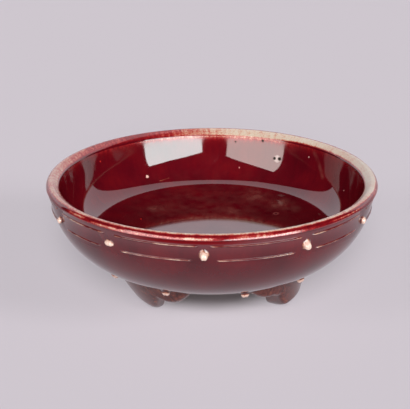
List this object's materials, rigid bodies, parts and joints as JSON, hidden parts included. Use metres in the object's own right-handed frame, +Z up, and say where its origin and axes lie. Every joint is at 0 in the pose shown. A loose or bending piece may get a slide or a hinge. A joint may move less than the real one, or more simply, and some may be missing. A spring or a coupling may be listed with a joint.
{
  "type": "brush washer",
  "caption": "Shallow drum-shaped brush washer in red glazed porcelain, with a rolled lip, raised lines, rings of small studs and cloud-shaped feet.",
  "frame": {"origin": "on the bowl's axis at the level of the pads it stands on", "axes": "+Z up along the bowl's axis, -Y towards the side with a foot at each front corner, +X to the right seen from there"},
  "size_m": [0.2012, 0.201, 0.075],
  "materials": {
    "oxblood_glaze": "glossy copper-red glaze, thin and pale on the lip",
    "stud_glaze": "glossy glaze thinned to cream on the tips",
    "foot_glaze": "satin brown-red glaze, pale along the edges"
  },
  "bodies": {
    "root": {"bowl": "oxblood_glaze", "foot_front_left": "foot_glaze", "foot_front_right": "foot_glaze", "foot_back": "foot_glaze", "upper_stud_01": "stud_glaze", "upper_stud_02": "stud_glaze", "upper_stud_03": "stud_glaze", "upper_stud_04": "stud_glaze", "upper_stud_05": "stud_glaze", "upper_stud_06": "stud_glaze", "upper_stud_07": "stud_glaze", "upper_stud_08": "stud_glaze", "upper_stud_09": "stud_glaze", "upper_stud_10": "stud_glaze", "upper_stud_11": "stud_glaze", "lower_stud_01": "stud_glaze", "lower_stud_02": "stud_glaze", "lower_stud_03": "stud_glaze", "lower_stud_04": "stud_glaze", "lower_stud_05": "stud_glaze", "lower_stud_06": "stud_glaze", "lower_stud_07": "stud_glaze", "lower_stud_08": "stud_glaze", "lower_stud_09": "stud_glaze", "lower_stud_10": "stud_glaze"}
  },
  "joints": []
}
